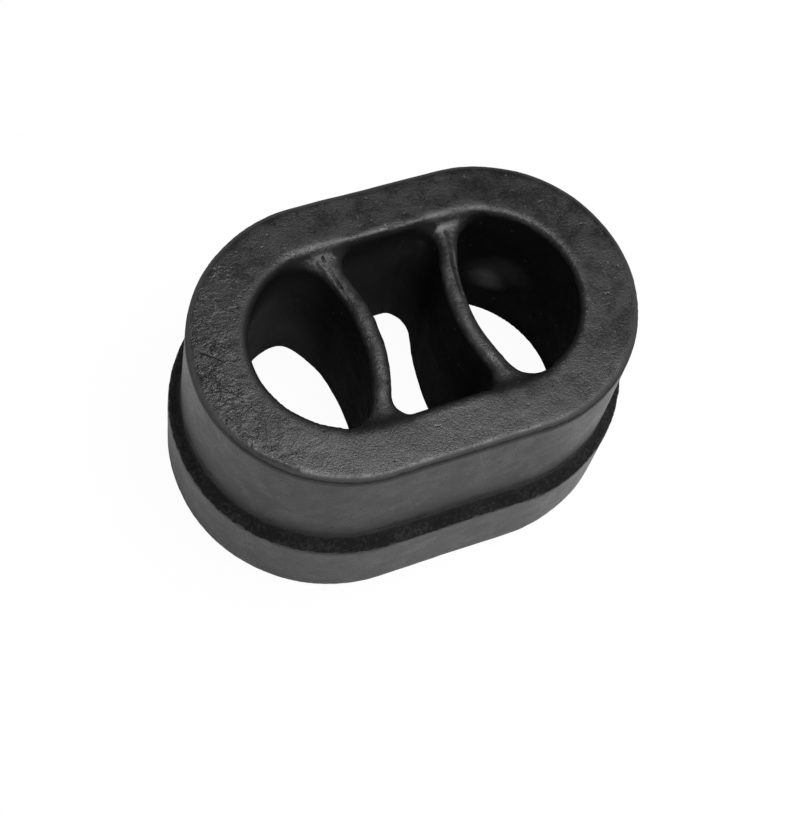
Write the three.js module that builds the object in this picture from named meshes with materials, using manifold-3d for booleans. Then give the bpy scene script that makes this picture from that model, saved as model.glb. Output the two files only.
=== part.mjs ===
import * as THREE from "three";
import { mergeVertices } from "three/addons/utils/BufferGeometryUtils.js";
import Module from "manifold-3d";

// An exhaust hanger rubber in millimetres: an oval block moulded in one piece, +Z up, its foot on z = 0.
// Its length lies along X. Three cavities run right through it, and two thin webs stand between them.

// The outside: an upper band, an upward-facing step, and a wider lower band.
const height = 36.1;
const topLength = 64.7;
const topWidth = 42.8;
const stepHeight = 14.8;
const stepWidth = 1.8;
const stepRise = 0.6;
const upperFlare = 1.3;
const lowerFlare = 0.7;
const topEdgeRadius = 1.2;
const stepRootRadius = 0.9;
const stepEdgeRadius = 0.3;
const footEdgeRadius = 0.8;

// The cavities: the walls around them at the top and at the foot, and their rounded rims.
const endWall = 8.6;
const sideWall = 8.1;
const footWall = 7.7;
const rimRadius = 1.3;
const footRimRadius = 0.7;

// The webs: both bow towards the middle of the block, with ridges a little below the top face.
const webThickness = 2.8;
const webFootThickness = 1.6;
const webSpacing = 13.5;
const webBowRadius = 25;
const ridgeRecess = 1.2;
const footRecess = 0.8;
const outerRootRadius = 4.4;
const innerRootRadius = 3.0;

// Fineness of the round shapes.
const turnSegments = 80;
const filletSegments = 4;
const rootSegments = 8;
const faceSegments = 12;

// A web's own edges are full rounds, apart from a narrow flat along the ridge.
const ridgeFlat = 0.2;
const ridgeRadius = (webThickness - ridgeFlat) / 2;
// The webs reach into the wall by this much, and the wall's own face stays in front of them by the skin.
const webReach = 3.6;
const wallSkin = 0.05;

const topRadius = topWidth / 2;
const outsideSpan = topLength / 2 - topRadius;
const stepRootOffset = upperFlare;
const stepEdgeOffset = stepRootOffset + stepWidth;
const footOffset = stepEdgeOffset + lowerFlare;
const cavityRadius = topRadius - sideWall;
const cavitySpan = topLength / 2 - endWall - cavityRadius;
const footCavityRadius = topRadius + footOffset - footWall;
const webCentre = webSpacing / 2 + webBowRadius;

// A profile through corners [x, y, radius], with each corner that has a radius turned into an arc.
function roundedProfile(corners) {
  const points = [];
  corners.forEach(([x, y, radius], i) => {
    const corner = new THREE.Vector2(x, y);
    if (!radius) {
      points.push(corner);
      return;
    }
    const back = new THREE.Vector2(...corners[i - 1]).sub(corner).normalize();
    const ahead = new THREE.Vector2(...corners[i + 1]).sub(corner).normalize();
    const halfAngle = Math.acos(back.dot(ahead)) / 2;
    const run = radius / Math.tan(halfAngle);
    const toCentre = back.clone().add(ahead).setLength(radius / Math.sin(halfAngle));
    const centre = corner.clone().add(toCentre);
    const start = corner.clone().addScaledVector(back, run).sub(centre).angle();
    const end = corner.clone().addScaledVector(ahead, run).sub(centre).angle();
    const clockwise = back.cross(ahead) > 0;
    const arc = new THREE.ArcCurve(centre.x, centre.y, radius, start, end, clockwise);
    points.push(...arc.getPoints(filletSegments));
  });
  return points;
}

// A turned profile, parted at x = 0 and drawn out along X until its ends are turned about x = -span and span.
function drawnOutTurning(profile, span) {
  const geometry = new THREE.LatheGeometry(profile, turnSegments, Math.PI / turnSegments);
  geometry.rotateX(Math.PI / 2);
  const position = geometry.getAttribute("position");
  for (let i = 0; i < position.count; i++) {
    position.setX(i, position.getX(i) + Math.sign(position.getX(i)) * span);
  }
  return geometry;
}

function outsideGeometry() {
  const profile = roundedProfile([
    [0, 0],
    [topRadius + footOffset, 0, footEdgeRadius],
    [topRadius + stepEdgeOffset, stepHeight, stepEdgeRadius],
    [topRadius + stepRootOffset, stepHeight + stepRise, stepRootRadius],
    [topRadius, height, topEdgeRadius],
    [0, height],
  ]);
  return drawnOutTurning(profile, outsideSpan);
}

// The space inside the wall, taken past both faces so that it cuts clean through.
function hollowGeometry() {
  const past = 2;
  const profile = roundedProfile([
    [0, -past],
    [footCavityRadius + footRimRadius + past, -past],
    [footCavityRadius + footRimRadius + past, 0],
    [footCavityRadius, 0, footRimRadius],
    [cavityRadius, height, rimRadius],
    [cavityRadius + rimRadius + past, height],
    [cavityRadius + rimRadius + past, height + past],
    [0, height + past],
  ]);
  return drawnOutTurning(profile, cavitySpan);
}

function arcPoints(x, y, radius, start, end, segments, clockwise = false) {
  return new THREE.ArcCurve(x, y, radius, start, end, clockwise).getPoints(segments);
}

// The plan of the cavity at the +X end: a web's hollow face, two rounded corners and the end wall's arc.
function endCavityPlan(wallRadius) {
  const faceRadius = webBowRadius - webThickness / 2;
  const fromWall = wallRadius - outerRootRadius;
  const fromFace = faceRadius - outerRootRadius;
  let cornerX = webCentre - Math.sqrt(fromFace ** 2 - fromWall ** 2);
  let cornerY = fromWall;
  if (cornerX > cavitySpan) {
    const between = fromWall ** 2 - fromFace ** 2 + webCentre ** 2 - cavitySpan ** 2;
    cornerX = between / (2 * (webCentre - cavitySpan));
    cornerY = Math.sqrt(fromWall ** 2 - (cornerX - cavitySpan) ** 2);
  }
  const faceAngle = Math.atan2(cornerY, cornerX - webCentre);
  const wallAngle = Math.atan2(cornerY, Math.max(cornerX - cavitySpan, 0));
  return [
    ...arcPoints(webCentre, 0, faceRadius, faceAngle, 2 * Math.PI - faceAngle, faceSegments),
    ...arcPoints(cornerX, -cornerY, outerRootRadius, -faceAngle, -wallAngle, rootSegments).slice(1),
    ...arcPoints(cavitySpan, 0, wallRadius, -wallAngle, wallAngle, faceSegments * 2).slice(1),
    ...arcPoints(cornerX, cornerY, outerRootRadius, wallAngle, faceAngle, rootSegments).slice(1, -1),
  ];
}

// One quarter of the middle cavity's plan, from the web's crown at y = 0 to the corner on the side wall.
function middleCavityQuarter(wallRadius) {
  const faceRadius = webBowRadius + webThickness / 2;
  const cornerY = wallRadius - innerRootRadius;
  const cornerX = webCentre - Math.sqrt((faceRadius + innerRootRadius) ** 2 - cornerY ** 2);
  const faceAngle = Math.atan2(cornerY, cornerX - webCentre);
  return [
    ...arcPoints(webCentre, 0, faceRadius, Math.PI, faceAngle, faceSegments / 2, true),
    ...arcPoints(cornerX, cornerY, innerRootRadius, faceAngle - Math.PI, Math.PI / 2, rootSegments).slice(1),
  ];
}

function mirrored(points, alongX, alongY) {
  const copy = points.map((p) => new THREE.Vector2(p.x * alongX, p.y * alongY));
  return alongX * alongY < 0 ? copy.reverse() : copy;
}

function middleCavityPlan(wallRadius) {
  const quarter = middleCavityQuarter(wallRadius);
  return [
    ...quarter,
    ...mirrored(quarter, -1, 1),
    ...mirrored(quarter, -1, -1).slice(1),
    ...mirrored(quarter, 1, -1).slice(0, -1),
  ];
}

// Points off the line from x = -cavitySpan to cavitySpan move away from it as the cavities widen downwards,
// and a web's two faces draw together as it thins towards the foot.
function widenDownwards(geometry) {
  const position = geometry.getAttribute("position");
  const point = new THREE.Vector3();
  for (let i = 0; i < position.count; i++) {
    point.fromBufferAttribute(position, i);
    const radius = THREE.MathUtils.mapLinear(point.z, 0, height, footCavityRadius, cavityRadius);
    const nearestX = THREE.MathUtils.clamp(point.x, -cavitySpan, cavitySpan);
    const growth = radius / cavityRadius;
    point.x = nearestX + (point.x - nearestX) * growth;
    point.y *= growth;
    const bowCentre = new THREE.Vector3(Math.sign(point.x) * webCentre, 0, point.z);
    const fromCentre = point.clone().sub(bowCentre);
    const fromWeb = fromCentre.length() - webBowRadius;
    const thinning = THREE.MathUtils.mapLinear(point.z, 0, height, (webThickness - webFootThickness) / 2, 0);
    const share = 1 - THREE.MathUtils.smoothstep(Math.abs(fromWeb), webThickness / 2, webSpacing / 2);
    const draw = -Math.sign(fromWeb) * Math.min(Math.abs(fromWeb), thinning) * share;
    fromCentre.setLength(fromCentre.length() + draw);
    point.copy(bowCentre).add(fromCentre);
    position.setXY(i, point.x, point.y);
  }
}

// The two webs in one plate with the cavities' plans left open, its edges rounded at the ridges and the foot.
function websGeometry() {
  const reach = cavityRadius + webReach;
  const plan = new THREE.Shape();
  plan.absarc(cavitySpan, 0, reach, -Math.PI / 2, Math.PI / 2);
  plan.absarc(-cavitySpan, 0, reach, Math.PI / 2, Math.PI * 1.5);
  const openRadius = cavityRadius + wallSkin;
  const endPlan = endCavityPlan(openRadius);
  plan.holes.push(new THREE.Path(endPlan));
  plan.holes.push(new THREE.Path(mirrored(endPlan, -1, 1)));
  plan.holes.push(new THREE.Path(middleCavityPlan(openRadius)));
  const webHeight = height - ridgeRecess - footRecess;
  const geometry = new THREE.ExtrudeGeometry(plan, {
    depth: webHeight - 2 * ridgeRadius,
    curveSegments: faceSegments,
    bevelThickness: ridgeRadius,
    bevelSize: ridgeRadius,
    bevelOffset: -ridgeRadius,
    bevelSegments: filletSegments,
  });
  geometry.translate(0, 0, footRecess + ridgeRadius);
  widenDownwards(geometry);
  return geometry;
}

const wasm = await Module();
wasm.setup();

function solidFrom(geometry) {
  const plain = geometry.index ? geometry.toNonIndexed() : geometry.clone();
  plain.deleteAttribute("normal");
  plain.deleteAttribute("uv");
  const merged = mergeVertices(plain, 1e-4);
  const corners = merged.index.array;
  const kept = [];
  for (let i = 0; i < corners.length; i += 3) {
    const [a, b, c] = corners.slice(i, i + 3);
    if (a !== b && b !== c && c !== a) kept.push(a, b, c);
  }
  return new wasm.Manifold(
    new wasm.Mesh({
      numProp: 3,
      vertProperties: merged.attributes.position.array,
      triVerts: new Uint32Array(kept),
    }),
  );
}

function geometryFrom(solid) {
  const mesh = solid.getMesh();
  const geometry = new THREE.BufferGeometry();
  geometry.setAttribute("position", new THREE.BufferAttribute(mesh.vertProperties, 3));
  geometry.setIndex(new THREE.BufferAttribute(mesh.triVerts, 1));
  geometry.computeVertexNormals();
  return geometry;
}

function rubberGeometry() {
  const wall = solidFrom(outsideGeometry()).subtract(solidFrom(hollowGeometry()));
  return geometryFrom(wall.add(solidFrom(websGeometry())));
}

function blackRubber() {
  return new THREE.MeshStandardMaterial({ color: 0x1a1a1b, roughness: 0.62, metalness: 0 });
}

const hanger = new THREE.Group();
const rubber = new THREE.Mesh(rubberGeometry(), blackRubber());
rubber.name = "hanger_rubber";
hanger.add(rubber);

export default hanger;
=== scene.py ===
import math

import bmesh
import bpy
from mathutils import Matrix, Vector, noise


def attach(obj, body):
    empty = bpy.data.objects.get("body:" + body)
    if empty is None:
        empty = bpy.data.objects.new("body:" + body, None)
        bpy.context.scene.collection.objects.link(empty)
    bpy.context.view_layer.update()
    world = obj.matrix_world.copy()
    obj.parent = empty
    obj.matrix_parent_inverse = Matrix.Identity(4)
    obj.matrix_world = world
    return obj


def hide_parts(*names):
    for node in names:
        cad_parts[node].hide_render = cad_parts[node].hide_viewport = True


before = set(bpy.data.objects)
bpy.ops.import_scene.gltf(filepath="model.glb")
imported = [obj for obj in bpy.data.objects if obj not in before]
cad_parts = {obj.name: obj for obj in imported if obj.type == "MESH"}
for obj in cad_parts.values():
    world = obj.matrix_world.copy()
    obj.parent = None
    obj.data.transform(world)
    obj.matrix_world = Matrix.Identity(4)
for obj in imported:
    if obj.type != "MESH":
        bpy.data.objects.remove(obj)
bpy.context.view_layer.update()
print("frame loaded")

mm = 0.001
tiny = 0.01 * mm                # points this close lie on the same edge
touching = 0.001 * mm           # and points this close are one point


# Camera, at the photograph's viewing angle.
photoCamera = {
    "azimuth": -35.66,          # degrees
    "elevation": 65.95,
    "roll": 16.55,
    "distance": 182.7 * mm,     # from the middle of the top face
    "slideRight": -2.85 * mm,
    "slideUp": -12.98 * mm,
    "lens": 58.29,
    "sensor": 36,               # along the photograph's long side
    "sees": (0.005, 50),        # from and to, in metres
}


def addPhotoCamera(settings, target):
    azimuth, elevation, roll = (math.radians(settings[k]) for k in ("azimuth", "elevation", "roll"))
    back = Vector((
        math.sin(azimuth) * math.cos(elevation),
        -math.cos(azimuth) * math.cos(elevation),
        math.sin(elevation),
    ))
    level = Vector((math.cos(azimuth), math.sin(azimuth), 0))
    upright = back.cross(level)
    right = level * math.cos(roll) + upright * math.sin(roll)
    up = upright * math.cos(roll) - level * math.sin(roll)
    data = bpy.data.cameras.new("photoCamera")
    data.lens = settings["lens"]
    data.sensor_width = settings["sensor"]
    data.clip_start, data.clip_end = settings["sees"]
    camera = bpy.data.objects.new("photoCamera", data)
    bpy.context.scene.collection.objects.link(camera)
    place = target + right * settings["slideRight"] + up * settings["slideUp"] + back * settings["distance"]
    camera.matrix_world = Matrix.Translation(place) @ Matrix((right, up, back)).transposed().to_4x4()
    bpy.context.scene.camera = camera


# The block: a drawn-out ring with a step round it, and two bowed webs across its middle.
hangerRubber = {
    "height": 36.1 * mm,
    "topLength": 64.7 * mm,
    "topWidth": 42.8 * mm,
    "stepHeight": 14.8 * mm,
    "stepWidth": 1.8 * mm,
    "stepRise": 0.6 * mm,
    "upperFlare": 1.3 * mm,
    "lowerFlare": 0.7 * mm,
    "topEdgeRadius": 0.6 * mm,
    "stepRootRadius": 0.9 * mm,
    "stepEdgeRadius": 0.3 * mm,
    "footEdgeRadius": 0.8 * mm,
    "endWall": 8.6 * mm,
    "sideWall": 8.1 * mm,
    "footWall": 7.7 * mm,
    "rimRadius": 0.9 * mm,
    "footRimRadius": 0.7 * mm,
    "turnSteps": 144,
    "edgeSteps": 6,             # round each edge and rim
    "skinSize": 0.5 * mm,       # the fine faces that the whole skin is made of
    "skinSmoothing": 2,
    "rootSmoothing": 8,         # where the webs grow out of the wall
}

webs = {
    "thickness": 2.8 * mm,
    "footThickness": 1.6 * mm,
    "spacing": 13.5 * mm,
    "bowRadius": 25 * mm,
    "ridgeRecess": 1.2 * mm,
    "footRecess": 0.8 * mm,
    "outerRootRadius": 4.4 * mm,
    "innerRootRadius": 3.0 * mm,
    "ridgeRadius": 0.95 * mm,
    "reach": 3.0 * mm,          # how far a root goes into the wall
    "arcStep": math.radians(4),
    "outerRootStep": math.radians(12),
    "innerRootStep": math.radians(16),
}

height = hangerRubber["height"]
outerRadius = hangerRubber["topWidth"] / 2
outerSpan = hangerRubber["topLength"] / 2 - outerRadius
cavityRadius = outerRadius - hangerRubber["sideWall"]
cavitySpan = hangerRubber["topLength"] / 2 - hangerRubber["endWall"] - cavityRadius
stepRoot = outerRadius + hangerRubber["upperFlare"]
stepEdge = stepRoot + hangerRubber["stepWidth"]
footRadius = stepEdge + hangerRubber["lowerFlare"]
footCavityRadius = footRadius - hangerRubber["footWall"]
wallMiddle = 19 * mm            # between the wall's inner and outer faces at every height


def fromSpine(point, span):
    return math.hypot(max(abs(point.x) - span, 0), point.y)


def blend01(value, low, high):
    share = max(0.0, min(1.0, (value - low) / (high - low)))
    return share * share * (3 - 2 * share)


def drawOut(verts, span):
    for v in verts:
        v.co.x += math.copysign(span(v.co), v.co.x)


def spinVertex(bm, vertex, centre, angle, step):
    made = bmesh.ops.spin(
        bm, geom=[vertex], cent=centre, axis=(0, 0, 1), angle=angle,
        steps=max(2, round(abs(angle) / step)), use_merge=False, use_duplicate=False,
    )
    return next(v for v in made["geom_last"] if isinstance(v, bmesh.types.BMVert))


def wallRing():
    # corners of the wall's section: distance from the spine, height and roundness
    p = hangerRubber
    corners = [
        (footRadius, 0, p["footEdgeRadius"]),
        (stepEdge, p["stepHeight"], p["stepEdgeRadius"]),
        (stepRoot, p["stepHeight"] + p["stepRise"], p["stepRootRadius"]),
        (outerRadius, height, p["topEdgeRadius"]),
        (cavityRadius, height, p["rimRadius"]),
        (footCavityRadius, 0, p["footRimRadius"]),
    ]
    bm = bmesh.new()
    start = math.pi / 2 + math.pi / p["turnSteps"]
    section = [bm.verts.new((r * math.cos(start), r * math.sin(start), z)) for r, z, _ in corners]
    for a, b in zip(section, section[1:] + section[:1]):
        bm.edges.new((a, b))
    bmesh.ops.spin(
        bm, geom=bm.verts[:] + bm.edges[:], cent=(0, 0, 0), axis=(0, 0, 1), angle=2 * math.pi,
        steps=p["turnSteps"], use_merge=True, use_duplicate=False,
    )
    for i, (radius, z, roundness) in enumerate(corners):
        here = Vector((radius, z))
        back = (Vector(corners[i - 1][:2]) - here).normalized()
        ahead = (Vector(corners[(i + 1) % len(corners)][:2]) - here).normalized()
        run = roundness / math.tan(back.angle(ahead) / 2)
        onCorner = {v for v in bm.verts if (Vector((v.co.xy.length, v.co.z)) - here).length < tiny}
        loop = [e for e in bm.edges if onCorner.issuperset(e.verts)]
        bmesh.ops.bevel(
            bm, geom=loop, offset=run, offset_type="OFFSET", affect="EDGES",
            segments=p["edgeSteps"], profile=0.5, material=-1, clamp_overlap=False,
        )
    drawOut(bm.verts, lambda co: outerSpan if co.xy.length > wallMiddle else cavitySpan)
    bmesh.ops.recalc_face_normals(bm, faces=bm.faces)
    return bm


def widenDownwards(point, bowCentre):
    # the cavities widen towards the foot, and the webs between them thin out
    below = 1 - point.z / height
    widening = (cavityRadius + (footCavityRadius - cavityRadius) * below) / cavityRadius
    spineX = max(-cavitySpan, min(cavitySpan, point.x))
    place = Vector((spineX + (point.x - spineX) * widening, point.y * widening, 0))
    fromCentre = place - bowCentre
    fromWeb = fromCentre.length - webs["bowRadius"]
    thinning = (webs["thickness"] - webs["footThickness"]) / 2 * below
    share = 1 - blend01(abs(fromWeb), webs["thickness"] / 2, webs["spacing"] / 2)
    draw = min(abs(fromWeb), thinning) * share
    fromCentre *= 1 - math.copysign(draw, fromWeb) / fromCentre.length
    place = bowCentre + fromCentre
    return Vector((place.x, place.y, point.z))


def webPair():
    # the outline of the web at +X in plan, one vertex spun from arc to arc
    w = webs
    centre = Vector((w["spacing"] / 2 + w["bowRadius"], 0, 0))
    endFace = w["bowRadius"] - w["thickness"] / 2
    middleFace = w["bowRadius"] + w["thickness"] / 2
    fromWall = cavityRadius - w["outerRootRadius"]
    fromFace = endFace - w["outerRootRadius"]
    across = fromWall ** 2 - fromFace ** 2 + centre.x ** 2 - cavitySpan ** 2
    endCorner = Vector((across / (2 * (centre.x - cavitySpan)), 0, 0))
    endCorner.y = math.sqrt(fromWall ** 2 - (endCorner.x - cavitySpan) ** 2)
    toFace = math.atan2(endCorner.y, endCorner.x - centre.x)
    toWall = math.atan2(endCorner.y, endCorner.x - cavitySpan)
    middleCorner = Vector((0, cavityRadius - w["innerRootRadius"], 0))
    middleCorner.x = centre.x - math.sqrt((middleFace + w["innerRootRadius"]) ** 2 - middleCorner.y ** 2)
    toMiddleFace = math.atan2(middleCorner.y, middleCorner.x - centre.x)
    below = Vector((1, -1, 1))

    bm = bmesh.new()
    wallWay = Vector((math.cos(toWall), math.sin(toWall), 0))
    first = bm.verts.new(endCorner + wallWay * w["outerRootRadius"])
    vertex = spinVertex(bm, first, endCorner, toFace - toWall, w["outerRootStep"])
    vertex = spinVertex(bm, vertex, centre, 2 * (math.pi - toFace), w["arcStep"])
    vertex = spinVertex(bm, vertex, endCorner * below, toFace - toWall, w["outerRootStep"])
    turn = math.pi * 1.5 - toMiddleFace     # of the roots at the middle cavity
    second = bm.verts.new(middleCorner * below - Vector((0, w["innerRootRadius"], 0)))
    inWall = [
        bm.verts.new(vertex.co + wallWay * below * w["reach"]),
        bm.verts.new(second.co - Vector((0, w["reach"], 0))),
    ]
    for a, b in ((vertex, inWall[0]), (inWall[0], inWall[1]), (inWall[1], second)):
        bm.edges.new((a, b))
    vertex = spinVertex(bm, second, middleCorner * below, turn, w["innerRootStep"])
    vertex = spinVertex(bm, vertex, centre, -2 * (math.pi - toMiddleFace), w["arcStep"])
    vertex = spinVertex(bm, vertex, middleCorner, turn, w["innerRootStep"])
    inWall = [
        bm.verts.new(vertex.co + Vector((0, w["reach"], 0))),
        bm.verts.new(first.co + wallWay * w["reach"]),
    ]
    for a, b in ((vertex, inWall[0]), (inWall[0], inWall[1]), (inWall[1], first)):
        bm.edges.new((a, b))
    bmesh.ops.remove_doubles(bm, verts=bm.verts, dist=touching)
    bmesh.ops.contextual_create(bm, geom=bm.edges[:])

    # the plan drawn up to the ridge, its two rims rounded over
    bmesh.ops.translate(bm, verts=bm.verts, vec=(0, 0, w["footRecess"]))
    webHeight = height - w["ridgeRecess"] - w["footRecess"]
    risen = bmesh.ops.extrude_face_region(bm, geom=bm.faces[:], use_keep_orig=True)
    ridgeVerts = [v for v in risen["geom"] if isinstance(v, bmesh.types.BMVert)]
    bmesh.ops.translate(bm, verts=ridgeVerts, vec=(0, 0, webHeight))
    rims = [e for e in bm.edges if abs(e.verts[0].co.z - e.verts[1].co.z) < tiny]
    bmesh.ops.bevel(
        bm, geom=rims, offset=w["ridgeRadius"], offset_type="OFFSET", affect="EDGES",
        segments=hangerRubber["edgeSteps"], profile=0.5, material=-1, clamp_overlap=False,
    )
    for v in bm.verts:
        v.co = widenDownwards(v.co, centre)
    bmesh.ops.mirror(bm, geom=bm.verts[:] + bm.edges[:] + bm.faces[:], merge_dist=touching, axis="X")
    bmesh.ops.recalc_face_normals(bm, faces=bm.faces)
    return bm


def oneSkin(parts, name, size):
    # the parts grown together as one moulded skin of small even faces
    bm = bmesh.new()
    for part in parts:
        mesh = bpy.data.meshes.new("part")
        part.to_mesh(mesh)
        part.free()
        bm.from_mesh(mesh)
        bpy.data.meshes.remove(mesh)
    mesh = bpy.data.meshes.new(name)
    bm.to_mesh(mesh)
    bm.free()
    piece = bpy.data.objects.new(name, mesh)
    bpy.context.scene.collection.objects.link(piece)
    remesh = piece.modifiers.new("skin", "REMESH")
    remesh.mode = "VOXEL"
    remesh.voxel_size = size
    remesh.use_smooth_shade = True
    seen = piece.evaluated_get(bpy.context.evaluated_depsgraph_get())
    piece.data = bpy.data.meshes.new_from_object(seen)
    piece.modifiers.clear()
    bpy.data.meshes.remove(mesh)
    piece.data.name = name
    return piece


# Wear and moulding marks that are large enough to be shape.
marks = {
    "seed": Vector((11.3, 4.7, 8.1)),
    "face": (0.09 * mm, 9 * mm),            # depth and size of the soft unevenness
    "skin": (0.025 * mm, 2.2 * mm),
    "ridge": (0.16 * mm, 2.6 * mm),         # lumps along the webs' ridges
    "step": (0.05 * mm, 0.7 * mm),
    "rag": (0.12 * mm, 1.3 * mm),           # along the step's parting edge
    "fineRag": (0.072 * mm, 1.3 / 2.3 * mm),
    "rootReach": 4.5 * mm,                  # round a web's root, where the skin is smoothed most
    "ridgeFade": (3.5 * mm, 2 * mm),        # below the top face
    "ridgeEnd": (-1 * mm, 0.5 * mm),        # from the cavities' top edge
    "stepFade": (0.5 * mm, 1.4 * mm),       # above and below the step
    "stepInset": (0.6 * mm, 0),             # in from the step's root
    "ragFade": (0.3 * mm, 0.9 * mm),
    "ragInset": (0.9 * mm, 0.2 * mm),       # in from the step's edge
}

# Where the cavities' dull skin and the painted shade inside them begin.
shadedSkin = {
    "wallStart": 0.1 * mm,                  # below the top face
    "webStart": 1.75 * mm,
    "run": 0.9 * mm,
    "dullFrom": 0.6 * mm,                   # past that start
    "wallFade": (1.6 * mm, 0.4 * mm),       # in from the cavities' top edge
    "webFade": (1.2 * mm, 2.4 * mm),        # from the middle of a web
}


def unevenness(point, mark):
    depth, size = marks[mark]
    return depth * noise.noise(point / size + marks["seed"])


def fromWebMiddle(point):
    bowCentre = webs["spacing"] / 2 + webs["bowRadius"]
    return math.hypot(bowCentre - abs(point.x), point.y) - webs["bowRadius"]


def nearRoot(point):
    fromRim = cavityRadius - fromSpine(point, cavitySpan)
    reach = marks["rootReach"]
    return abs(fromWebMiddle(point)) < reach and cavityRadius - wallMiddle < fromRim < reach


def darkDepth(point):
    # how far a point inside the cavities lies past the start of their painted shade
    d = shadedSkin
    onWall = blend01(fromSpine(point, cavitySpan), *(cavityRadius - inset for inset in d["wallFade"]))
    onWall *= blend01(abs(fromWebMiddle(point)), *d["webFade"])
    return height - point.z - d["webStart"] - (d["wallStart"] - d["webStart"]) * onWall


def isDullAndShaded(point):
    inside = fromSpine(point, cavitySpan) < wallMiddle and point.z > shadedSkin["run"]
    return inside and darkDepth(point) > shadedSkin["dullFrom"]


def markDepth(point):
    # how far the skin stands out at a point
    outward = fromSpine(point, outerSpan)
    fromStep = abs(point.z - hangerRubber["stepHeight"])
    push = unevenness(point, "face") + unevenness(point, "skin")
    onRidge = blend01(point.z, *(height - below for below in marks["ridgeFade"]))
    onRidge *= 1 - blend01(fromSpine(point, cavitySpan), *(cavityRadius + past for past in marks["ridgeEnd"]))
    push += onRidge * unevenness(point, "ridge")
    onStep = blend01(outward, *(stepRoot - inset for inset in marks["stepInset"]))
    onStep *= 1 - blend01(fromStep, *marks["stepFade"])
    push += onStep * unevenness(point, "step")
    onEdge = blend01(outward, *(stepEdge - inset for inset in marks["ragInset"]))
    onEdge *= 1 - blend01(fromStep, *marks["ragFade"])
    return push + onEdge * (unevenness(point, "rag") + unevenness(point, "fineRag"))


def smoothSkin(bm, verts, rounds):
    for _ in range(rounds):
        bmesh.ops.smooth_vert(
            bm, verts=verts, factor=0.5, use_axis_x=True, use_axis_y=True, use_axis_z=True,
        )


def markSkin(piece):
    bm = bmesh.new()
    bm.from_mesh(piece.data)
    roots = [v for v in bm.verts if nearRoot(v.co)]
    smoothSkin(bm, bm.verts, hangerRubber["skinSmoothing"])
    smoothSkin(bm, roots, hangerRubber["rootSmoothing"])
    bm.normal_update()
    moves = {v: v.normal * markDepth(v.co) for v in bm.verts}
    for v, move in moves.items():
        v.co += move
        v.co.z = max(0.0, min(height, v.co.z))      # back within the block's own box
    for face in bm.faces:
        face.smooth = True
        # faces deep in the cavities get the second material, painted dark as their shade
        face.material_index = int(isDullAndShaded(face.calc_center_median()))
    bm.to_mesh(piece.data)
    bm.free()


block = oneSkin([wallRing(), webPair()], "hangerRubber", hangerRubber["skinSize"])
print("skin made:", len(block.data.polygons), "faces")
markSkin(block)
print("skin marked")


# The lengths that the looks read, in millimetres, as their nodes do.
topZ = height / mm
outerEdge = outerRadius / mm
cavityEdge = cavityRadius / mm
insideWall = wallMiddle / mm
stepLow = hangerRubber["stepHeight"] / mm
stepHigh = stepLow + hangerRubber["stepRise"] / mm

rubberFinish = {
    "black": (0.0065, 0.0065, 0.0067, 1),
    "bloom": (0.018, 0.018, 0.0186, 1),     # the greyer tone of handled rubber
    "lighterTone": (0.05, 0.05, 0.051, 1),         # rubbed and painted lighter on the edges and the ridges
    # dust specks, and painted highlights on the flecks and raised lips
    "dustAndPaintedHighlight": (0.13, 0.13, 0.13, 1),
    "roughness": (0.25, 0.40),
    "specular": 0.5,
}

# The cavities' inner skin: the same rubber, duller and painted darker as the shade in them; its lighter tone
# is painted light.
cavityShadeFinish = {
    "black": (0.0016, 0.0016, 0.0017, 1),
    "bloom": (0.0042, 0.0042, 0.0044, 1),
    "lighterTone": (0.32, 0.32, 0.325, 1),
    "roughness": (0.62, 0.8),
    "specular": 0.03,
    "greyed": (0.026, 0.17),                # share of the lighter tone on all of it, and more as painted light on the walls towards -X
}

stepFinish = {
    "black": (0.0018, 0.0018, 0.0019, 1),
    "lighterTone": (0.018, 0.018, 0.0184, 1),
    "roughness": (0.8, 1.0),
    "gritShare": 0.7,                       # of the fine grit, the rest being patches
}

# How strongly each kind of wear, painted light and painted shade shows, from 0 to 1.
wearAndPaintedLight = {
    # ridge and topEdge are wear and painted light, edgeLine and rimShade painted shade, flecks painted glints
    "ridge": 0.5,
    "topEdge": 0.85,
    "edgeLine": 0.8,
    "flecks": 0.35,
    "rimShade": 0.8,
    "pits": 0.8,
    "step": 0.95,
}

# How much rougher it makes the skin.
rougher = {
    "ridge": 0.08,
    "rim": 0.06,
    "stroke": 0.4,
    "topEdge": 0.4,
    "cavity": 0.45,
}

# How high each kind of relief stands, in mm.
rises = {
    "grain": 0.034,
    "fine": 0.018,
    "pits": 0.035,                          # down
    "crinkle": 0.065,
    "ridge": 0.03,
    "step": 0.12,
}

# Clouds that the looks are made of: size in mm, detail, roughness and distortion.
clouds = {
    "broad": (13, 4, 0.55, 0.0),
    "patch": (3.4, 5, 0.62, 0.0),
    "crinkle": (1.15, 4, 0.6, 1.1),
    "grain": (0.34, 3, 0.6, 0.0),
    "fine": (0.17, 2, 0.55, 0.0),
    "pitShake": (0.8, 2, 0.55, 0.0),
    "shake": (1.3, 3, 0.55, 0.0),
    "patchy": (5, 3, 0.55, 0.0),
    "rag": (0.9, 3, 0.65, 0.0),
    "broken": (2.2, 3, 0.6, 0.0),
    "ridge": (0.9, 4, 0.7, 0.0),
    "flecks": (0.5, 2, 0.6, 0.8),
    "grit": (0.55, 4, 0.7, 0.0),
}
cloudMiddle = 0.5                           # their middle value

# Cells round single points, one point in each: size in mm.
cellSizes = {
    "pits": 2.3,
    "specks": 2.1,
    "cavitySpecks": 2.8,
}
pitTurn = (0, 0, 0.9)                       # radians
pitStretch = (1.0, 2.1, 1.6)                # narrower across and down

# How far clouds shift the edges of the wear, in mm.
shifts = {
    "skin": 0.4,
    "pits": 1.6,
    "coarse": 14.0,
    "edgeLine": 0.5,
    "step": 1.1,
}

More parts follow.
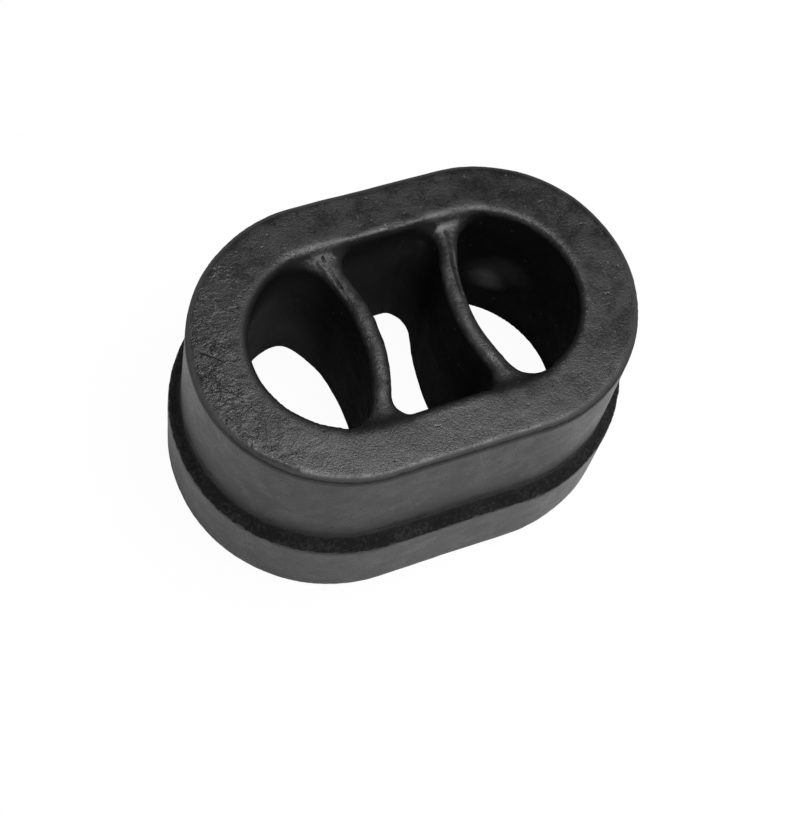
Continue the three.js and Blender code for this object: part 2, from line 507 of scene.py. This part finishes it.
# Fades from nothing at the first number to full at the second. Those of clouds and cells are in
# their own values, and the others in mm from an edge or height that is named where they are used.
# Two more numbers stand for other shares at the two ends.
fades = {
    "rimOut": (2.4, 0.9),
    "rimTop": (-3.4, -1.5),
    "coarseEnd": (-10.0, -21.0),
    "coarseTop": (-1.5, -0.3),
    "coarseOut": (-8.5, -3.5, 0.35, 1.0),
    "coarseBroken": (0.38, 0.6, 0.15, 1.0),
    "coarseRim": (0.4, 0.6, 0.15, 0.55),
    "ridgeIn": (-0.4, -2.4),
    "ridgeTop": (-3.2, -2.0),
    "ridgePatches": (0.4, 0.6, 0.2, 0.7),
    "edgeOut": (-1.0, -0.3),
    "edgeTop": (-1.5, -0.6),
    "lineAway": (0.04, 0.22, 1.0, 0.0),
    "lineOut": (-1.2, -0.6),
    "lineFront": (-6.0, -12.0),
    "cavityIn": (0.0, -1.0),
    "rimShadeOut": (1.6, 0.4),
    "rimShadeEnd": (-13.0, -19.0),
    "stepBelow": (-0.55, -0.2),
    "stepAbove": (2.0, 0.5),
    "stepOut": (-1.5, -1.0),
    "grit": (0.42, 0.68),
    "greyIn": (-6.0, 1.5),
    "greyEnd": (10.0, 4.0),
    "greyDown": (-1.5, -11.0, 0.2, 1.0),
    "flecks": (0.57, 0.7),
    "specks": (0.03, 0.09, 0.7, 0.0),
    "cavitySpecks": (0.04, 0.12, 0.5, 0.0),
    "pitCells": (0.7, 0.75),
    "pits": (0.05, 0.2, 1.0, 0.0),
    "tone": (0.3, 0.72),
    "gloss": (0.34, 0.66),
    "reliefPatches": (0.36, 0.62, 0.5, 1.15),
}
edgeLineDepth = 0.45                        # mm below the top face
mottle = 1.8                                # how strongly the grain shows in the tone
crestSharpness = 5.0                        # of the crinkles

# Single marks on the block: a line from start to end, its width, its height (cuts are below 0),
# and how much painted shade darkens it (below 0, how much a painted highlight lightens it).
strokes = {
    "creaseStart": ((-30.4, -9.6, 35.8), (-27.4, -13.3, 35.9), 0.7, -0.10, 0.5),
    "creaseEnd": ((-27.4, -13.3, 35.9), (-23.4, -16.6, 35.9), 0.6, -0.10, 0.5),
    "edgeScratch": ((-30.5, 3.7, 36.1), (-27.8, 1.35, 36.1), 0.28, -0.05, 0.2),
    "farNick": ((-11.3, 12.5, 36.1), (-10.5, 11.9, 36.1), 0.45, 0.12, 0.0),
    "middleNick": ((7.3, 12.6, 36.1), (8.1, 12.5, 36.1), 0.4, 0.10, 0.0),
    "leftLip": ((-10.1, 12.0, 34.8), (-8.8, 6.0, 34.7), 0.6, 0.12, -0.12),
    "leftSlit": ((-9.5, 12.6, 35.2), (-8.5, 7.6, 34.9), 0.34, -0.26, 1.0),
    "leftSlitEnd": ((-8.5, 7.6, 34.9), (-8.0, 4.8, 34.9), 0.22, -0.12, 0.9),
    "rightGroove": ((9.0, 11.8, 34.7), (8.0, 6.0, 34.7), 0.5, -0.2, 1.0),
    "rightGrooveEnd": ((8.0, 6.0, 34.7), (7.4, 1.5, 34.6), 0.45, -0.14, 0.8),
    "rightLip": ((9.6, 11.0, 34.4), (8.6, 6.0, 34.4), 0.4, 0.08, -0.06),
    "farRoot": ((-10.9, 12.9, 35.6), (-9.9, 12.4, 35.2), 0.8, 0.08, -0.2),
    "frontRoot": ((9.2, -11.4, 34.6), (8.4, -9.0, 34.7), 0.6, 0.08, -0.12),
    "blister": ((5.7, 3.7, 34.7), (5.8, 4.2, 34.7), 0.7, 0.14, 0.0),
}

# Painted light in the cavities, lighter patches for light and reflections on their walls: a line from
# start to end, its width, how light it is and its height.
paintedGlows = {
    "rightSpot": ((19.8, 13.0, 13.6), (20.0, 12.7, 12.6), 4.0, 0.7, 0.6),
    "rightHaze": ((21.8, 10.6, 19.0), (20.0, 12.5, 16.5), 5.5, 0.3, 0.3),
    "middleCorner": ((7.1, 13.9, 31.0), (9.8, 17.2, 2.0), 1.9, 0.32, 0.3),
    "leftSheen": ((-8.4, 5.0, 22.0), (-8.4, 4.0, 3.0), 6.0, 0.06, 0.0),
    "leftFar": ((-18.5, 13.0, 21.0), (-14.0, 15.6, 10.0), 7.5, 0.14, 0.3),
}


class NodeTools:
    # adds nodes to one tree; each value given is a number, a colour or another node's output
    def __init__(self, tree):
        self.tree = tree

    def put(self, slot, value):
        if isinstance(value, bpy.types.NodeSocket):
            self.tree.links.new(value, slot)
        elif value is not None:
            slot.default_value = value

    def add(self, kind, values=()):
        node = self.tree.nodes.new(kind)
        for name, value in dict(values).items():
            self.put(node.inputs[name], value)
        return node

    def effect(self, group, values):
        node = self.tree.nodes.new("ShaderNodeGroup")
        node.node_tree = group
        for name, value in values.items():
            self.put(node.inputs[name], value)
        return node.outputs

    def calc(self, operation, a, b=None, clamp=False):
        node = self.add("ShaderNodeMath", {0: a, 1: b})
        node.operation = operation
        node.use_clamp = clamp
        return node.outputs[0]

    def plus(self, a, b, clamp=False):
        return self.calc("ADD", a, b, clamp)

    def minus(self, a, b, clamp=False):
        return self.calc("SUBTRACT", a, b, clamp)

    def times(self, a, b):
        return self.calc("MULTIPLY", a, b)

    def average(self, a, b, share=0.5):
        return self.plus(self.times(a, share), self.times(b, 1 - share))

    def vectorCalc(self, operation, a, b=None, scale=None):
        node = self.tree.nodes.new("ShaderNodeVectorMath")
        node.operation = operation
        for i, value in ((0, a), (1, b), (3, scale)):
            self.put(node.inputs[i], value)
        return node.outputs["Value" if operation in ("DOT_PRODUCT", "DISTANCE") else "Vector"]

    def split(self, vector):
        return self.add("ShaderNodeSeparateXYZ", {"Vector": vector}).outputs

    def ramp(self, value, low, high, start=0.0, end=1.0):
        node = self.add("ShaderNodeMapRange", {
            "Value": value, "From Min": low, "From Max": high, "To Min": start, "To Max": end,
        })
        node.interpolation_type = "SMOOTHSTEP"
        return node.outputs["Result"]

    def fade(self, value, kind, fromPlace=0.0):
        low, high, *shares = fades[kind]
        return self.ramp(value, fromPlace + low, fromPlace + high, *shares)

    def blend(self, share, a, b):
        node = self.tree.nodes.new("ShaderNodeMix")
        node.data_type = "RGBA"
        for i, value in ((0, share), (6, a), (7, b)):
            self.put(node.inputs[i], value)
        return node.outputs[2]

    def cloud(self, place, kind):
        size, detail, roughness, distortion = clouds[kind]
        return self.add("ShaderNodeTexNoise", {
            "Vector": place, "Scale": 1 / size, "Detail": detail,
            "Roughness": roughness, "Distortion": distortion,
        }).outputs

    def cells(self, place, kind):
        return self.add("ShaderNodeTexVoronoi", {"Vector": place, "Scale": 1 / cellSizes[kind]}).outputs

    def shifted(self, vector, place, kind, reach):
        # the vector, moved about by the cloud at the place
        move = self.vectorCalc("SUBTRACT", self.cloud(place, kind)["Color"], (cloudMiddle,) * 3)
        return self.vectorCalc("ADD", vector, self.vectorCalc("SCALE", move, scale=reach))


def newGroup(name, given, made):
    kinds = {"vector": "NodeSocketVector", "value": "NodeSocketFloat", "colour": "NodeSocketColor"}
    tree = bpy.data.node_groups.new(name, "ShaderNodeTree")
    for label, kind in given.items():
        tree.interface.new_socket(name=label, in_out="INPUT", socket_type=kinds[kind])
    for label, kind in made.items():
        tree.interface.new_socket(name=label, in_out="OUTPUT", socket_type=kinds[kind])
    n = NodeTools(tree)
    return n, n.add("NodeGroupInput").outputs, n.add("NodeGroupOutput").inputs


def makeSpineGroup():
    # distance from the line that the block's round ends are drawn out along
    n, given, made = newGroup(
        "spineDistance",
        {"Place": "vector", "Span": "value"},
        {"Distance": "value"},
    )
    part = n.split(given["Place"])
    beyond = n.calc("MAXIMUM", n.minus(n.calc("ABSOLUTE", part["X"]), given["Span"]), 0.0)
    squares = n.plus(n.times(beyond, beyond), n.times(part["Y"], part["Y"]))
    n.put(made["Distance"], n.calc("SQRT", squares))
    return n.tree


def makeStrokeGroup():
    # 1 on a line from start to end, fading out over the width on both sides
    n, given, made = newGroup(
        "strokeMark",
        {"Place": "vector", "Start": "vector", "End": "vector", "Width": "value"},
        {"Mask": "value"},
    )
    along = n.vectorCalc("SUBTRACT", given["End"], given["Start"])
    fromStart = n.vectorCalc("SUBTRACT", given["Place"], given["Start"])
    reached = n.vectorCalc("DOT_PRODUCT", fromStart, along)
    share = n.calc("DIVIDE", reached, n.vectorCalc("DOT_PRODUCT", along, along), clamp=True)
    nearest = n.vectorCalc("ADD", given["Start"], n.vectorCalc("SCALE", along, scale=share))
    away = n.vectorCalc("DISTANCE", given["Place"], nearest)
    n.put(made["Mask"], n.ramp(away, 0.0, given["Width"], 1.0, 0.0))
    return n.tree


def makeSkinGroup():
    # tone, gloss and grain of moulded rubber
    n, given, made = newGroup(
        "rubberSkin",
        {
            "Place": "vector", "Black": "colour", "Bloom": "colour",
            "Smoothest": "value", "Roughest": "value", "Coarse": "value",
        },
        {"Colour": "colour", "Roughness": "value", "Height": "value"},
    )
    place = given["Place"]
    broad = n.cloud(place, "broad")["Fac"]
    patch = n.cloud(place, "patch")["Fac"]
    crinkle = n.cloud(place, "crinkle")["Fac"]
    grain = n.cloud(place, "grain")["Fac"]
    fine = n.cloud(place, "fine")["Fac"]

    # a few long shallow pits
    mapping = n.add("ShaderNodeMapping", {"Vector": place, "Rotation": pitTurn, "Scale": pitStretch})
    pitPlace = n.shifted(mapping.outputs[0], place, "pitShake", shifts["pits"])
    pitCells = n.cells(pitPlace, "pits")
    draw = n.add("ShaderNodeSeparateColor", {"Color": pitCells["Color"]}).outputs[0]
    pits = n.times(n.fade(pitCells["Distance"], "pits"), n.fade(draw, "pitCells"))

    mottled = n.times(n.minus(grain, cloudMiddle), mottle)
    tone = n.plus(n.fade(n.average(broad, patch), "tone"), mottled, clamp=True)
    colour = n.blend(tone, given["Black"], given["Bloom"])
    n.put(made["Colour"], n.blend(n.times(pits, wearAndPaintedLight["pits"]), colour, given["Black"]))

    gloss = n.fade(n.average(patch, grain), "gloss")
    span = n.minus(given["Roughest"], given["Smoothest"])
    n.put(made["Roughness"], n.plus(given["Smoothest"], n.times(gloss, span)))

    relief = n.plus(n.times(grain, rises["grain"]), n.times(fine, rises["fine"]))
    relief = n.times(relief, n.fade(patch, "reliefPatches"))
    relief = n.minus(relief, n.times(pits, rises["pits"]))
    fromCrest = n.calc("ABSOLUTE", n.times(n.minus(crinkle, cloudMiddle), crestSharpness))
    crests = n.times(n.minus(1.0, fromCrest, clamp=True), rises["crinkle"])
    n.put(made["Height"], n.plus(relief, n.times(given["Coarse"], crests)))
    return n.tree


spineGroup = makeSpineGroup()
strokeGroup = makeStrokeGroup()
skinGroup = makeSkinGroup()


def startRubber(name, finish):
    material = bpy.data.materials.new(name)
    material.use_nodes = True
    n = NodeTools(material.node_tree)
    n.tree.nodes["Principled BSDF"].inputs["Specular IOR Level"].default_value = finish["specular"]
    place = n.vectorCalc("SCALE", n.add("ShaderNodeTexCoord").outputs["Object"], scale=1 / mm)
    return material, n, place


def skinLook(n, place, finish, coarse):
    smoothest, roughest = finish["roughness"]
    skin = n.effect(skinGroup, {
        "Place": place, "Black": finish["black"], "Bloom": finish["bloom"],
        "Smoothest": smoothest, "Roughest": roughest, "Coarse": coarse,
    })
    return {"colour": skin["Colour"], "rough": skin["Roughness"], "relief": skin["Height"]}


def finishRubber(n, look):
    shader = n.tree.nodes["Principled BSDF"]
    n.put(shader.inputs["Base Color"], look["colour"])
    n.put(shader.inputs["Roughness"], n.calc("MINIMUM", look["rough"], 1.0))
    bump = n.add("ShaderNodeBump", {"Strength": 1.0, "Distance": mm, "Height": look["relief"]})
    n.put(shader.inputs["Normal"], bump.outputs["Normal"])


def addSpecks(n, place, look, kind):
    specks = n.fade(n.cells(place, kind)["Distance"], kind)
    look["colour"] = n.blend(specks, look["colour"], rubberFinish["dustAndPaintedHighlight"])


def findPlaces(n, place):
    # where a point lies on the block, and the clouds that the layers below share
    x, y, z = n.split(place)
    shaken = n.shifted(place, place, "shake", shifts["skin"])
    inner = n.effect(spineGroup, {"Place": shaken, "Span": cavitySpan / mm})["Distance"]
    return {
        "place": place, "shaken": shaken, "x": x, "y": y, "z": z,
        "inner": inner,
        "outer": n.effect(spineGroup, {"Place": place, "Span": outerSpan / mm})["Distance"],
        "patchy": n.cloud(place, "patchy")["Fac"],
        "rag": n.cloud(place, "rag")["Fac"],
        "rim": n.times(n.fade(inner, "rimOut", cavityEdge), n.fade(z, "rimTop", topZ)),
    }


def coarseGrain(n, at):
    # crinkled grain on the top face's end at -X
    nearEnd = n.fade(n.plus(at["x"], n.times(at["patchy"], shifts["coarse"])), "coarseEnd")
    onTop = n.fade(at["z"], "coarseTop", topZ)
    outward = n.fade(at["outer"], "coarseOut", outerEdge)
    broken = n.fade(n.cloud(at["place"], "broken")["Fac"], "coarseBroken")
    return n.times(n.times(nearEnd, onTop), n.times(outward, broken))


def ridgeWearAndHighlight(n, at, look):
    # the ridges are partly worn and partly painted lighter, as a painted highlight along their crests
    ridge = n.times(n.fade(at["inner"], "ridgeIn", cavityEdge), n.fade(at["z"], "ridgeTop", topZ))
    ridge = n.times(ridge, n.fade(n.cloud(at["place"], "ridge")["Fac"], "ridgePatches"))
    look["colour"] = n.blend(n.times(ridge, wearAndPaintedLight["ridge"]), look["colour"], rubberFinish["lighterTone"])
    onBoth = n.plus(n.times(ridge, rougher["ridge"]), n.times(at["rim"], rougher["rim"]))
    look["rough"] = n.plus(look["rough"], onBoth)
    look["relief"] = n.plus(look["relief"], n.times(ridge, rises["ridge"]))


def addFlecks(n, at, look, coarse):
    # bright flecks in the coarse grain, painted lighter as glints
    flecks = n.times(coarse, n.fade(n.cloud(at["shaken"], "flecks")["Fac"], "flecks"))
    look["colour"] = n.blend(n.times(flecks, wearAndPaintedLight["flecks"]), look["colour"], rubberFinish["dustAndPaintedHighlight"])


def addStrokes(n, at, look):
    for start, end, width, rise, dark in strokes.values():
        line = {"Place": at["shaken"], "Start": start, "End": end, "Width": width}
        mask = n.effect(strokeGroup, line)["Mask"]
        look["relief"] = n.plus(look["relief"], n.times(mask, rise))
        # cuts are darkened with painted shade, and raised lips and roots lightened with a painted highlight
        if dark > 0:
            look["colour"] = n.blend(n.times(mask, dark), look["colour"], cavityShadeFinish["black"])
            look["rough"] = n.plus(look["rough"], n.times(mask, dark * rougher["stroke"]))
        elif dark < 0:
            look["colour"] = n.blend(n.times(mask, -dark), look["colour"], rubberFinish["dustAndPaintedHighlight"])


def topEdgeWearLightAndShade(n, at, look):
    # the top face's edge, partly rubbed and partly painted lighter as a painted reflection, and a fine line
    # of painted shade along its front
    ragged = n.times(n.minus(at["rag"], cloudMiddle), shifts["edgeLine"])
    fromLine = n.calc("ABSOLUTE", n.minus(n.minus(topZ - edgeLineDepth, at["z"]), ragged))
    inFront = n.times(n.fade(at["outer"], "lineOut", outerEdge), n.fade(at["y"], "lineFront"))
    line = n.times(n.fade(fromLine, "lineAway"), inFront)
    edge = n.times(n.fade(at["outer"], "edgeOut", outerEdge), n.fade(at["z"], "edgeTop", topZ))
    colour = n.blend(n.times(edge, wearAndPaintedLight["topEdge"]), look["colour"], rubberFinish["lighterTone"])
    look["colour"] = n.blend(n.times(line, wearAndPaintedLight["edgeLine"]), colour, cavityShadeFinish["black"])
    look["rough"] = n.plus(look["rough"], n.times(edge, rougher["topEdge"]))


def paintCavityShade(n, at, look):
    # painted shade from the rims down into the cavities, and painted shade on the rim at -X
    wallStart, webStart, run = (shadedSkin[k] / mm for k in ("wallStart", "webStart", "run"))
    bowCentre, bowRadius = (webs["spacing"] / 2 + webs["bowRadius"]) / mm, webs["bowRadius"] / mm
    toBow = n.minus(bowCentre, n.calc("ABSOLUTE", at["x"]))
    toBow = n.calc("SQRT", n.plus(n.times(toBow, toBow), n.times(at["y"], at["y"])))
    fromWeb = n.calc("ABSOLUTE", n.minus(toBow, bowRadius))
    onWall = n.ramp(at["inner"], *(cavityEdge - inset / mm for inset in shadedSkin["wallFade"]))
    onWall = n.times(onWall, n.ramp(fromWeb, *(away / mm for away in shadedSkin["webFade"])))
    start = n.plus(webStart, n.times(onWall, wallStart - webStart))
    down = n.minus(n.minus(topZ, at["z"]), start)
    dark = n.times(n.ramp(down, 0.0, run), n.fade(at["inner"], "cavityIn", insideWall))
    shade = n.times(n.fade(at["inner"], "rimShadeOut", cavityEdge), n.fade(at["x"], "rimShadeEnd"))
    dark = n.calc("MAXIMUM", dark, n.times(shade, wearAndPaintedLight["rimShade"]))
    look["colour"] = n.blend(dark, look["colour"], cavityShadeFinish["black"])
    look["rough"] = n.plus(look["rough"], n.times(dark, rougher["cavity"]))


def dullStep(n, at, look):
    # the step is matt, dark and gritty, and its lower edge ragged
    smoothest, roughest = stepFinish["roughness"]
    ragged = n.plus(at["z"], n.times(n.minus(at["rag"], cloudMiddle), shifts["step"]))
    step = n.times(n.fade(ragged, "stepBelow", stepLow), n.fade(ragged, "stepAbove", stepHigh))
    step = n.times(step, n.fade(at["outer"], "stepOut", outerEdge))
    grit = n.cloud(at["place"], "grit")["Fac"]
    gritty = n.fade(n.average(grit, at["patchy"], stepFinish["gritShare"]), "grit")
    tone = n.blend(gritty, stepFinish["black"], stepFinish["lighterTone"])
    look["colour"] = n.blend(n.times(step, wearAndPaintedLight["step"]), look["colour"], tone)
    matt = n.ramp(gritty, 0.0, 1.0, roughest, smoothest)
    look["rough"] = n.calc("MAXIMUM", look["rough"], n.times(step, matt))
    look["relief"] = n.plus(look["relief"], n.times(n.times(step, grit), rises["step"]))


def paintLightOnWalls(n, place, look):
    # painted light: the cavity skin is lifted a little all over, and the walls towards -X are painted
    # lighter, most of all low down
    x, y, z = n.split(place)
    everywhere, onWalls = cavityShadeFinish["greyed"]
    inner = n.effect(spineGroup, {"Place": place, "Span": cavitySpan / mm})["Distance"]
    walls = n.times(n.fade(inner, "greyIn", cavityEdge), n.fade(x, "greyEnd"))
    walls = n.times(walls, n.fade(z, "greyDown", topZ))
    greyed = n.plus(everywhere, n.times(walls, onWalls))
    look["colour"] = n.blend(greyed, look["colour"], cavityShadeFinish["lighterTone"])


def addGlows(n, place, look):
    # painted light and reflections on the cavity walls
    for start, end, width, share, rise in paintedGlows.values():
        line = {"Place": place, "Start": start, "End": end, "Width": width}
        mask = n.effect(strokeGroup, line)["Mask"]
        look["colour"] = n.blend(n.times(mask, share), look["colour"], cavityShadeFinish["lighterTone"])
        look["relief"] = n.plus(look["relief"], n.times(mask, rise))


def blackRubber():
    material, n, place = startRubber("blackRubber", rubberFinish)
    at = findPlaces(n, place)
    coarse = coarseGrain(n, at)
    coarseRim = n.times(at["rim"], n.fade(at["patchy"], "coarseRim"))
    look = skinLook(n, place, rubberFinish, n.calc("MAXIMUM", coarse, coarseRim))
    ridgeWearAndHighlight(n, at, look)
    addFlecks(n, at, look, coarse)
    addSpecks(n, place, look, "specks")
    addStrokes(n, at, look)
    topEdgeWearLightAndShade(n, at, look)
    paintCavityShade(n, at, look)
    dullStep(n, at, look)
    finishRubber(n, look)
    return material


# a duller copy of the rubber, painted darker as the shade inside the cavities
def shadedCavityRubber():
    material, n, place = startRubber("shadedCavityRubber", cavityShadeFinish)
    look = skinLook(n, place, cavityShadeFinish, 0.0)
    paintLightOnWalls(n, place, look)
    addGlows(n, place, look)
    addSpecks(n, place, look, "cavitySpecks")
    finishRubber(n, look)
    return material


block.data.materials.append(blackRubber())
block.data.materials.append(shadedCavityRubber())
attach(block, "root")
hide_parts("hanger_rubber")
print("rubber finished")


# Studio: a pale floor, an even pale surround and two soft lamps.
studio = {
    "floorSize": 6,                 # metres, from its middle
    "floorColour": (0.68, 0.68, 0.68, 1),
    "floorRoughness": 0.9,
    "floorSpecular": 0.1,
    "floorGlow": 0.94,              # share of plain white that the camera sees in the floor
    "glowStrength": 1.02,
    "reflectedGlow": 0.03,
    "surround": 0.09,
    "topPower": 3.5,
    "topPlace": (0.09, -0.06, 0.60),
    "topSize": 0.36,
    "sidePower": 0.4,
    "sidePlace": (-0.45, -0.35, 0.30),
    "sideSize": 0.3,
    "lampAim": (0, 0, 0.02),
}


def seenShare(n, camera, reflected):
    # the camera and clear materials see one share, a reflection in the rubber another
    path = n.add("ShaderNodeLightPath").outputs
    seen = n.times(n.calc("MAXIMUM", path["Is Camera Ray"], path["Is Transmission Ray"]), camera)
    return n.plus(seen, n.times(path["Is Glossy Ray"], reflected), clamp=True)


def addFloor():
    bm = bmesh.new()
    bmesh.ops.create_grid(bm, x_segments=1, y_segments=1, size=studio["floorSize"])
    mesh = bpy.data.meshes.new("studioFloor")
    bm.to_mesh(mesh)
    bm.free()
    floor = bpy.data.objects.new("studioFloor", mesh)
    bpy.context.scene.collection.objects.link(floor)
    material = bpy.data.materials.new("paleFloor")
    material.use_nodes = True
    n = NodeTools(material.node_tree)
    shader = n.tree.nodes["Principled BSDF"]
    shader.inputs["Base Color"].default_value = studio["floorColour"]
    shader.inputs["Roughness"].default_value = studio["floorRoughness"]
    shader.inputs["Specular IOR Level"].default_value = studio["floorSpecular"]
    glow = n.add("ShaderNodeEmission", {"Strength": studio["glowStrength"]})
    share = seenShare(n, studio["floorGlow"], studio["reflectedGlow"])
    mix = n.add("ShaderNodeMixShader", {0: share, 1: shader.outputs[0], 2: glow.outputs[0]})
    n.put(n.tree.nodes["Material Output"].inputs["Surface"], mix.outputs[0])
    mesh.materials.append(material)


def addSurround():
    world = bpy.data.worlds.new("paleSurround")
    bpy.context.scene.world = world
    world.use_nodes = True
    n = NodeTools(world.node_tree)
    back = n.tree.nodes["Background"]
    back.inputs["Color"].default_value = (1, 1, 1, 1)
    n.put(back.inputs["Strength"], n.calc("MAXIMUM", studio["surround"], seenShare(n, 1.0, 0.0)))


def addSoftLamp(name, place, size, power):
    data = bpy.data.lights.new(name, "AREA")
    data.shape = "SQUARE"
    data.size = size
    data.energy = power
    lamp = bpy.data.objects.new(name, data)
    lamp.location = place
    lamp.rotation_euler = (Vector(place) - Vector(studio["lampAim"])).to_track_quat("Z", "Y").to_euler()
    bpy.context.scene.collection.objects.link(lamp)


addFloor()
addSurround()
addSoftLamp("topLamp", studio["topPlace"], studio["topSize"], studio["topPower"])
addSoftLamp("sideLamp", studio["sidePlace"], studio["sideSize"], studio["sidePower"])
addPhotoCamera(photoCamera, Vector((0, 0, height)))
bpy.context.scene.view_settings.view_transform = "Standard"
print("studio ready")
